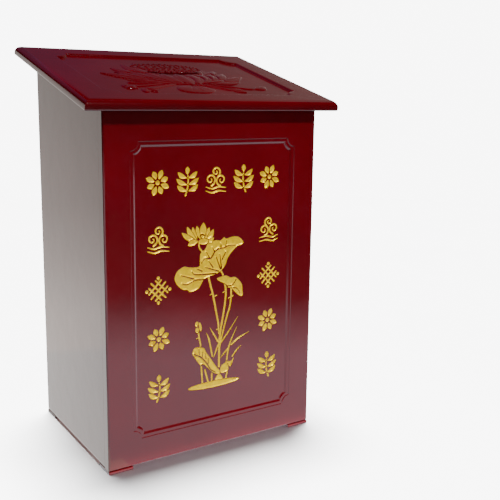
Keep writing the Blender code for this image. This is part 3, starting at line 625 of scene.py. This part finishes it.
def hole_distance(canvas, hole):
    """Distance to the hole's edge, or far away without a hole."""
    if not hole:
        return np.full(canvas.distance.shape, FAR)
    grid_x, grid_y = np.meshgrid(canvas.x, canvas.y)
    x0, y0, x1, y1 = canvas.x[hole[0]], canvas.y[hole[1]], canvas.x[hole[2]], canvas.y[hole[3]]
    across = np.maximum(np.maximum(x0 - grid_x, grid_x - x1), 0)
    up = np.maximum(np.maximum(y0 - grid_y, grid_y - y1), 0)
    return np.hypot(across, up)


def shade(piece):
    """Smooth shading with sharp creases and flat faces that stay flat."""
    piece.data.shade_smooth()
    piece.data.set_sharp_from_angle(angle=CREASE)
    weighted = piece.modifiers.new("flat faces", "WEIGHTED_NORMAL")
    weighted.keep_sharp = True


def rectangle(left, low, right, high, depth):
    """The corners of a rectangle at one depth."""
    return [(left, low, depth), (right, low, depth), (right, high, depth), (left, high, depth)]


def notched(size, middle, notch, inset, depth):
    """A rectangle whose corners are scooped out by quarter circles, with a small step at each end."""
    half_x, half_y = size[0] / 2, size[1] / 2
    radius, step = notch + inset, NOTCH_STEP + inset
    reach = math.sqrt(radius**2 - step**2)
    first, last = math.atan2(-reach, -step), math.atan2(-step, -reach)
    corner = [(-inset, -reach)]
    for k in range(NOTCH_SIDES + 1):
        angle = first + (last - first) * k / NOTCH_SIDES
        corner.append((radius * math.cos(angle), radius * math.sin(angle)))
    corner.append((-reach, -inset))
    outline = []
    for sign_x, sign_y in ((1, 1), (-1, 1), (-1, -1), (1, -1)):
        points = [(sign_x * (half_x + x), middle + sign_y * (half_y + y), depth) for x, y in corner]
        outline += points if sign_x == sign_y else points[::-1]
    return outline


def sink_field(shell, field, face_loop, grid_loop):
    """The moulded edge of a sunk field, and the flat parts on both sides of it."""
    size, middle, notch, profile = field
    loops = [shell.add(notched(size, middle, notch, inset, depth)) for inset, depth in profile]
    shell.fill(face_loop, loops[0])
    for first, second in zip(loops, loops[1:]):
        shell.bridge(first, second)
    shell.fill(loops[-1], grid_loop)


def quarter(steps):
    """Sine and one minus cosine through a quarter turn."""
    for k in range(steps + 1):
        angle = math.pi / 2 * k / steps
        yield math.sin(angle), 1 - math.cos(angle)


def carved_front():
    """The front panel with its moulded field and the gilded carving."""
    canvas = Canvas(FRONT_PITCH, *FRONT_GRID)
    lotus(canvas)
    for motif, x, y, *mirror in ORNAMENTS:
        motif(canvas, (x, y), *mirror)
    depth = FRONT_FLOOR + np.clip(-CARVING_SLOPE * canvas.distance, 0, CARVING_DEPTH)
    shell = Shell()
    grid_loop, _ = shell.grid(canvas, depth, np.clip(-canvas.distance, PLAIN, -PLAIN))
    slope = math.tan(LID_SLOPE)
    loops = []
    for out, down in quarter(EDGE_STEPS):
        reach = HALF_WIDTH - EDGE_ROUND + EDGE_ROUND * out
        low = EDGE_ROUND * (1 - out)
        behind = EDGE_ROUND * down
        loops.append(shell.add(rectangle(-reach, low, reach, FRONT_HEIGHT + behind * slope, behind)))
    loops.append(shell.add(rectangle(-HALF_WIDTH, 0, HALF_WIDTH, FRONT_HEIGHT + BOARD * slope, BOARD)))
    sink_field(shell, FRONT_FIELD, loops[0], grid_loop)
    for first, second in zip(loops, loops[1:]):
        shell.bridge(first, second)
    shell.fill(loops[-1])
    place = Matrix.Translation((0, FRONT_LOW.y * MM, FRONT_LOW.z * MM))
    stand_up = Matrix(((1, 0, 0, 0), (0, 0, 1, 0), (0, 1, 0, 0), (0, 0, 0, 1)))
    return shell.piece("carved_front", place @ stand_up)


def carved_lid():
    """The lid with its moulded field, the relief and the money slot."""
    canvas = Canvas(LID_PITCH, *LID_GRID)
    lid_relief(canvas)
    relief = np.clip(canvas.height, 0, LID_FLOOR - RELIEF_SKIN)
    centre = LID_CELLS[0] // 2
    half = round(SLOT_SIZE[0] / 2 / LID_PITCH)
    hole = (centre - half, SLOT_ROW, centre + half, SLOT_ROW + SLOT_CELLS)
    shell = Shell()
    plain = np.full(relief.shape, PLAIN)
    grid_loop, slot_loop = shell.grid(canvas, LID_FLOOR - relief, plain, hole)
    low, high = -LID_FRONT_OVERHANG, LID_LENGTH - LID_FRONT_OVERHANG
    profile = []
    for out, down in quarter(LID_TOP_STEPS):
        profile.append((LID_TOP_ROUND * (1 - out), LID_TOP_ROUND * down))
    for out, down in quarter(LID_BOTTOM_STEPS):
        profile.append((LID_BOTTOM_ROUND * down, BOARD - LID_BOTTOM_ROUND * (1 - out)))
    loops = []
    for inset, depth in profile:
        reach = LID_HALF_WIDTH - inset
        loops.append(shell.add(rectangle(-reach, low + inset, reach, high - inset, depth)))
    sink_field(shell, LID_FIELD, loops[0], grid_loop)
    for first, second in zip(loops, loops[1:]):
        shell.bridge(first, second)
    under = shell.add([(*shell.points[index][:2], BOARD) for index in slot_loop])
    shell.bridge(slot_loop, under)
    shell.fill(loops[-1], under)
    slope = Matrix.Rotation(LID_SLOPE, 4, "X")
    corner = Vector((0, FRONT_LOW.y, FRONT_LOW.z + FRONT_HEIGHT)) * MM
    lift = Matrix.Translation((0, 0, (GAP + BOARD) * MM))
    face_up = Matrix.Diagonal((1, 1, -1, 1))
    return shell.piece("carved_lid", Matrix.Translation(corner) @ slope @ lift @ face_up)


# ---------------------------------------------------------------- materials

LACQUER_DARK, LACQUER_LIGHT = (0.105, 0.0012, 0.004), (0.135, 0.002, 0.006)
GOLD_DARK, GOLD_LIGHT = (0.80, 0.50, 0.0), (0.99, 0.68, 0.0)
LACQUER_GLOSS, GOLD_GLOSS = (0.11, 0.17), (0.30, 0.48)  # roughness, at the two ends of the mottle
LACQUER_METALLIC, GOLD_METALLIC = 0.0, 0.35
LACQUER_SPECULAR, GOLD_SPECULAR = 0.5, 0.0
GILDING_EDGE = 0.22  # how far inside the carving's outline the gold is full, in millimetres
WOOD_DARK, WOOD_MIDDLE, WOOD_LIGHT = (0.42, 0.25, 0.11), (0.62, 0.42, 0.22), (0.70, 0.52, 0.30)
BRASS_DARK, BRASS_LIGHT = (0.62, 0.42, 0.15), (0.80, 0.60, 0.26)
STEEL_DARK, STEEL_LIGHT = (0.48, 0.48, 0.46), (0.64, 0.64, 0.62)
CHROME_DARK, CHROME_LIGHT = (0.66, 0.66, 0.67), (0.78, 0.78, 0.79)
MOTTLE_LOW, MOTTLE_HIGH = 0.3, 0.7  # the noise values between which a mottle changes
MIX_FIRST, MIX_SECOND, MIX_RESULT = 6, 7, 2  # where a mix node has its colour sockets
EVENLY = (1, 1, 1)
GRAIN_UP, GRAIN_ACROSS, GRAIN_DEEP = (1, 1, 0.05), (0.05, 1, 1), (1, 0.05, 1)


class Paint:
    """A material whose colour, roughness and bump come from nodes."""

    def __init__(self, name, roughness, metallic=0.0):
        self.material = bpy.data.materials.new(name)
        self.material.use_nodes = True
        self.nodes = self.material.node_tree.nodes
        self.links = self.material.node_tree.links
        self.shader = self.nodes["Principled BSDF"]
        self.shader.inputs["Roughness"].default_value = roughness
        self.shader.inputs["Metallic"].default_value = metallic
        self.place = self.nodes.new("ShaderNodeTexCoord").outputs["Object"]

    def scaled(self, scale):
        """The place on the piece, scaled along each axis."""
        mapping = self.nodes.new("ShaderNodeMapping")
        mapping.inputs["Scale"].default_value = scale
        self.links.new(self.place, mapping.inputs["Vector"])
        return mapping.outputs["Vector"]

    def noise(self, scale, detail=3.0, stretch=EVENLY):
        """Soft noise with so many cells to a metre, drawn out along an axis whose stretch is below 1."""
        noise = self.nodes.new("ShaderNodeTexNoise")
        noise.inputs["Scale"].default_value = scale
        noise.inputs["Detail"].default_value = detail
        self.links.new(self.scaled(stretch), noise.inputs["Vector"])
        return noise.outputs["Fac"]

    def ramp(self, value, *stops):
        """A colour ramp through (position, colour) stops; a plain number is a grey."""
        ramp = self.nodes.new("ShaderNodeValToRGB")
        elements = ramp.color_ramp.elements
        while len(elements) < len(stops):
            elements.new(0.5)
        for element, (position, colour) in zip(elements, stops):
            element.position = position
            element.color = (colour,) * 3 + (1,) if isinstance(colour, (int, float)) else (*colour, 1)
        self.links.new(value, ramp.inputs["Fac"])
        return ramp.outputs["Color"]

    def mottle(self, value, first, second):
        """A ramp over the middle of a noise's range."""
        return self.ramp(value, (MOTTLE_LOW, first), (MOTTLE_HIGH, second))

    def mix(self, factor, first, second):
        """The first colour where the factor is 0, and the second where it is 1."""
        mix = self.nodes.new("ShaderNodeMix")
        mix.data_type = "RGBA"
        self.links.new(factor, mix.inputs[0])
        self.links.new(first, mix.inputs[MIX_FIRST])
        self.links.new(second, mix.inputs[MIX_SECOND])
        return mix.outputs[MIX_RESULT]

    def colour(self, output):
        self.links.new(output, self.shader.inputs["Base Color"])

    def rough(self, output):
        self.links.new(output, self.shader.inputs["Roughness"])

    def bump(self, *layers):
        """Bumps stacked on each other, as (height output, strength, distance in metres)."""
        before = None
        for height, strength, distance in layers:
            bump = self.nodes.new("ShaderNodeBump")
            bump.inputs["Strength"].default_value = strength
            bump.inputs["Distance"].default_value = distance
            self.links.new(height, bump.inputs["Height"])
            if before:
                self.links.new(before, bump.inputs["Normal"])
            before = bump.outputs["Normal"]
        self.links.new(before, self.shader.inputs["Normal"])


def lacquer(name, gilded=False):
    """Gloss lacquer with a faint orange peel and sprayed mottle; the carving in it can be gilded."""
    paint = Paint(name, 0.13)
    colour = paint.mottle(paint.noise(9, 4), LACQUER_DARK, LACQUER_LIGHT)
    gloss = paint.mottle(paint.noise(60, 3), *LACQUER_GLOSS)
    peel = (paint.noise(260, 2), 0.10, 0.0004)
    waves = (paint.noise(22, 2), 0.25, 0.0012)
    if gilded:
        place = paint.nodes.new("ShaderNodeAttribute")
        place.attribute_name = "gilding"
        inside = place.outputs["Fac"]
        mask = paint.ramp(inside, (0.0, 0.0), (GILDING_EDGE, 1.0))
        gold = paint.mottle(paint.noise(170, 4), GOLD_DARK, GOLD_LIGHT)
        colour = paint.mix(mask, colour, gold)
        flake = paint.mottle(paint.noise(300, 3), *GOLD_GLOSS)
        gloss = paint.mix(mask, gloss, flake)
        metallic = paint.ramp(inside, (0.0, LACQUER_METALLIC), (GILDING_EDGE, GOLD_METALLIC))
        paint.links.new(metallic, paint.shader.inputs["Metallic"])
        specular = paint.ramp(inside, (0.0, LACQUER_SPECULAR), (GILDING_EDGE, GOLD_SPECULAR))
        paint.links.new(specular, paint.shader.inputs["Specular IOR Level"])
    paint.colour(colour)
    paint.rough(gloss)
    paint.bump(waves, peel)
    return paint.material


def bare_wood(name, stretch):
    """Sawn softwood with the grain along one axis."""
    paint = Paint(name, 0.6)
    grain = paint.noise(30, 6, stretch)
    stops = (MOTTLE_LOW, WOOD_DARK), (0.5, WOOD_MIDDLE), (MOTTLE_HIGH, WOOD_LIGHT)
    paint.colour(paint.ramp(grain, *stops))
    paint.rough(paint.mottle(grain, 0.5, 0.7))
    paint.bump((paint.noise(120, 4, stretch), 0.35, 0.0005))
    return paint.material


def metal(name, dark, light, roughness, stretch=EVENLY):
    """Plated metal with fine tooling marks and a slightly uneven tone."""
    paint = Paint(name, roughness, 1.0)
    paint.colour(paint.mottle(paint.noise(80, 4), dark, light))
    marks = paint.noise(400, 4, stretch)
    paint.rough(paint.mottle(marks, roughness * 0.75, roughness * 1.35))
    paint.bump((paint.noise(400, 3, stretch), 0.12, 0.0001))
    return paint.material


def dress(names, material):
    """Give CAD nodes a material and smooth shading."""
    for name in names:
        node = NODES[name]
        node.data.materials.clear()
        node.data.materials.append(material)
        shade(node)


def starting(*prefixes):
    """The CAD nodes whose names start this way."""
    return [name for name in NODES if name.startswith(prefixes)]


def finish_surfaces():
    """A material for every CAD node, and the two carved pieces in place of theirs."""
    gloss = lacquer("red_lacquer")
    boards = starting("foot_", "left_side", "right_side", "back_")
    dress([name for name in boards if "screw" not in name], gloss)
    dress(starting("corner_post"), bare_wood("bare_wood_upright", GRAIN_UP))
    dress(starting("door_stop", "bottom_board"), bare_wood("bare_wood_across", GRAIN_ACROSS))
    dress(starting("lid_cleat", "bottom_cleat"), bare_wood("bare_wood_deep", GRAIN_DEEP))
    dress(starting("hinge_"), metal("hinge_brass", BRASS_DARK, BRASS_LIGHT, 0.26, (1, 1, 0.08)))
    steel = metal("fitting_steel", STEEL_DARK, STEEL_LIGHT, 0.34, (1, 1, 0.2))
    screws = [name for name in NODES if "screw" in name and not name.startswith("hinge_")]
    dress(screws + ["strike_plate", "lock_nut", "lock_cam"], steel)
    dress(["lock_body", "lock_plug", "key"], metal("lock_chrome", CHROME_DARK, CHROME_LIGHT, 0.09))
    gilded = lacquer("gilded_lacquer", gilded=True)
    for piece, node, finish in ((carved_front(), "front_panel", gilded), (carved_lid(), "lid", gloss)):
        piece.data.materials.append(finish)
        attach(piece, "case")
        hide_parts(node)


# ---------------------------------------------------------------- studio
# All lengths in this section are in metres.

CAMERA_PLACE = Vector((-0.5622, -1.0854, 0.5312))
CAMERA_YAW, CAMERA_PITCH, CAMERA_ROLL = 0.5697, 0.1765, 0.0123
CAMERA_FOCAL, SENSOR_WIDTH = 55.22, 36  # millimetres
CAMERA_SHIFT = (0.0133, -0.0339)
BACKDROP_RADIUS, WALL_HEIGHT, WALL_BEND = 4.5, 4.0, 1.5
BACKDROP_SIDES, BEND_STEPS = 48, 8
BACKDROP_GREY = 0.82
WALL_GLOW = 8.0
ROOM_GLOW = 0.1
SKY_PLACE, SKY_STRENGTH, SKY_SPREAD = (0.12, 0.3, 2.0), 32, math.radians(18)


def even(colour):
    """One colour from end to end."""
    return ((0.0, colour), (1.0, colour))


WHITE = even(1.0)
COOL = even((0.97, 1.0, 1.12))
WARM = even((1.10, 1.0, 0.93))
CREAM = even((1.04, 1.0, 0.96))
VIOLET = even((0.25, 0.18, 0.5))
FRONT_FADE = ((0.0, 1.0), (0.107, 0.55), (0.20, 0.03), (0.42, 0.0))
LEFT_FADE = ((0.0, 1.0), (0.12, 0.94), (0.3, 0.69), (0.47, 0.53), (0.72, 0.44), (1.0, 0.36))
HORIZON = ((0.0, 40.0), (0.14, 25.0), (0.28, 2.4), (0.42, 1.0))
DUSK = ((0.25, (0.25, 0.18, 0.38)), (0.4, (0.40, 0.36, 0.40)), (0.55, (0.62, 0.66, 0.60)),
        (0.75, (0.85, 0.95, 0.90)))
CARDS = (  # name, centre, the point it faces, size, strength, shades up it, and colours across it
    ("floor_card", (0, -1.2, 0.001), (0, -1.2, 1.0), (8.0, 2.2), 1.85, WHITE, COOL),
    ("front_card", (0.052, -0.604, 0.301), (-0.164, -0.232, 0.301), (1.0, 0.60), 1.8, FRONT_FADE, COOL),
    ("lid_card", (0.85, 0.95, 1.25), (0, 0, 0.55), (2.4, 1.5), 0.22, HORIZON, DUSK),
    ("left_card", (-0.31, 0.40, 0.331), (-0.175, 0.0, 0.331), (0.5, 0.66), 2.7, LEFT_FADE, WARM),
    ("left_floor_card", (-0.30, 0.18, 0.003), (-0.30, 0.18, 1.0), (0.32, 0.7), 2.5, WHITE, CREAM),
    ("back_floor_card", (0.65, 1.06, 0.001), (0.65, 1.06, 1.0), (4.1, 2.22), 0.8, WHITE, WHITE),
    ("sky_card", (-0.25, 1.1, 1.5), (-0.1, 0, 0.55), (1.0, 0.9), 0.25, WHITE, VIOLET),
)
SOFTBOXES = (  # name, place, the point it faces, size, watts, what it lights, and whether gloss shows it
    ("key", (0.6, -2.5, 3.25), (0, 0, 0.4), (0.3, 0.3), 150, "all but the lid", True),
    ("lid_key", (0.6, -2.7, 2.5), (0, 0, 0.4), (0.3, 0.3), 30, "the lid", False),
    ("sparkle", (0.6, -2.9, 2.1), (0, 0, 0.4), (0.1, 0.1), 12, "the lid", True),
    ("fill", (0.3, -2.4, 1.0), (0, 0, 0.3), (1.6, 1.2), 9, "all", False),
    ("low_fill", (0.2, -0.9, 0.12), (0, 0, 0.12), (1.0, 0.2), 1.9, "all", False),
    ("toe_light", (0, -0.149, 0.003), (0, -0.1, 0.004), (0.36, 0.006), 0.035, "all", False),
    ("back_light", (0.9, 2.4, 1.3), (0, 0, 0.3), (1.0, 1.0), 90, "all but the lid", False),
    ("overhead", (-0.3, -0.4, 3.0), (0, 0, 0), (2.0, 2.0), 60, "all", False),
)


def camera():
    """The camera, at the left of the box and a little above its middle."""
    data = bpy.data.cameras.new("camera")
    data.lens = CAMERA_FOCAL
    data.sensor_width = SENSOR_WIDTH
    data.shift_x, data.shift_y = CAMERA_SHIFT
    eye = bpy.data.objects.new("camera", data)
    yaw = Matrix.Rotation(-CAMERA_YAW, 4, "Z")
    pitch = Matrix.Rotation(math.pi / 2 - CAMERA_PITCH, 4, "X")
    roll = Matrix.Rotation(CAMERA_ROLL, 4, "Z")
    eye.matrix_world = Matrix.Translation(CAMERA_PLACE) @ yaw @ pitch @ roll
    bpy.context.scene.collection.objects.link(eye)
    bpy.context.scene.camera = eye


def light(name, data, place, target, lit, glossy=True):
    """A light that faces a target, lights only some objects, and isn't seen by the camera."""
    made = bpy.data.objects.new(name, data)
    made.location = place
    made.rotation_euler = (Vector(target) - Vector(place)).to_track_quat("-Z", "Y").to_euler()
    made.visible_camera = False
    made.visible_glossy = glossy
    bpy.context.scene.collection.objects.link(made)
    receivers = bpy.data.collections.new(f"{name}_lights")
    for thing in lit:
        receivers.objects.link(thing)
    made.light_linking.receiver_collection = receivers


def softbox(name, place, target, size, power, lit, glossy):
    """A rectangular area light."""
    data = bpy.data.lights.new(name, "AREA")
    data.shape = "RECTANGLE"
    data.size, data.size_y = size
    data.energy = power
    light(name, data, place, target, lit, glossy)


def soft_sky(floor):
    """A very wide, even light on the floor, which leaves a soft shadow round the box."""
    data = bpy.data.lights.new("floor_sky", "SUN")
    data.energy = SKY_STRENGTH
    data.angle = SKY_SPREAD
    light("floor_sky", data, SKY_PLACE, (0, 0, 0), [floor])


def matte(name, grey):
    """A dull surface of the studio."""
    paint = Paint(name, 0.9)
    paint.colour(paint.mottle(paint.noise(3), 0.97 * grey, grey))
    return paint


def glow(paint, strength, size, up, across):
    """Light given off by a card, shaded by (share, colour) stops up and across it."""
    along = paint.nodes.new("ShaderNodeSeparateXYZ")
    paint.links.new(paint.place, along.inputs[0])
    product = paint.nodes.new("ShaderNodeVectorMath")
    product.operation = "MULTIPLY"
    for socket, axis, span, stops in zip(product.inputs, "XY", size, (across, up)):
        share = paint.nodes.new("ShaderNodeMapRange")
        share.inputs["From Min"].default_value = -span / 2
        share.inputs["From Max"].default_value = span / 2
        paint.links.new(along.outputs[axis], share.inputs["Value"])
        paint.links.new(paint.ramp(share.outputs["Result"], *stops), socket)
    paint.links.new(product.outputs["Vector"], paint.shader.inputs["Emission Color"])
    paint.shader.inputs["Emission Strength"].default_value = strength


def set_piece(name, points, faces, material):
    """A floor, wall or card of the studio."""
    mesh = bpy.data.meshes.new(name)
    mesh.from_pydata(points, [], faces)
    mesh.shade_smooth()
    mesh.materials.append(material)
    made = bpy.data.objects.new(name, mesh)
    bpy.context.scene.collection.objects.link(made)
    made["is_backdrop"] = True
    return made


def backdrop():
    """A pale round floor, and a pale wall that curves up from its rim. Neither leaves a reflection."""
    sides = BACKDROP_SIDES
    turns = [2 * math.pi * k / sides for k in range(sides)]
    around = [(math.cos(turn), math.sin(turn)) for turn in turns]
    flat = BACKDROP_RADIUS - WALL_BEND
    floor_rim = [(x * flat, y * flat, 0) for x, y in around]
    floor_paint = matte("pale_floor", BACKDROP_GREY)
    floor = set_piece("floor", floor_rim, [tuple(range(sides))], floor_paint.material)
    profile = []
    for k in range(BEND_STEPS + 1):
        angle = math.pi / 2 * k / BEND_STEPS
        profile.append((flat + WALL_BEND * math.sin(angle), WALL_BEND * (1 - math.cos(angle))))
    profile.append((BACKDROP_RADIUS, WALL_HEIGHT))
    points = [(x * reach, y * reach, z) for reach, z in profile for x, y in around]
    faces = []
    for ring in range(len(profile) - 1):
        for k in range(sides):
            a = ring * sides + k
            b = ring * sides + (k + 1) % sides
            faces.append((a, a + sides, b + sides, b))
    wall_paint = matte("pale_wall", BACKDROP_GREY)
    glow(wall_paint, WALL_GLOW, (1, 1), WHITE, WHITE)
    wall = set_piece("wall", points, faces, wall_paint.material)
    for surface in (floor, wall):
        surface.visible_glossy = False
        surface.visible_diffuse = False
    return floor


def card(name, centre, facing, size, strength, up, across):
    """A shaded card that shows only as a reflection in the lacquer and the metal."""
    half_x, half_y = size[0] / 2, size[1] / 2
    corners = [(-half_x, -half_y, 0), (half_x, -half_y, 0), (half_x, half_y, 0), (-half_x, half_y, 0)]
    paint = matte(name, 0.0)
    glow(paint, strength, size, up, across)
    made = set_piece(name, corners, [(0, 1, 2, 3)], paint.material)
    made.location = centre
    made.rotation_euler = (Vector(facing) - Vector(centre)).to_track_quat("Z", "Y").to_euler()
    made.visible_camera = False
    made.visible_diffuse = False
    made.visible_shadow = False


def room():
    """A faint even light from all around, which leaves no reflection."""
    world = bpy.data.worlds.new("room")
    world.use_nodes = True
    background = world.node_tree.nodes["Background"]
    background.inputs["Color"].default_value = (1, 1, 1, 1)
    background.inputs["Strength"].default_value = ROOM_GLOW
    bpy.context.scene.world = world
    world.cycles_visibility.glossy = False


def studio():
    """The camera, the backdrop, the reflections and the lights."""
    camera()
    floor = backdrop()
    for numbers in CARDS:
        card(*numbers)
    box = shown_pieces()
    lid = [piece for piece in box if piece.name == "carved_lid"]
    others = [piece for piece in box if piece.name != "carved_lid"]
    groups = {"all": box, "the lid": lid, "all but the lid": others}
    for name, place, target, size, power, lit, glossy in SOFTBOXES:
        softbox(name, place, target, size, power, groups[lit], glossy)
    soft_sky(floor)
    room()


finish_surfaces()
studio()
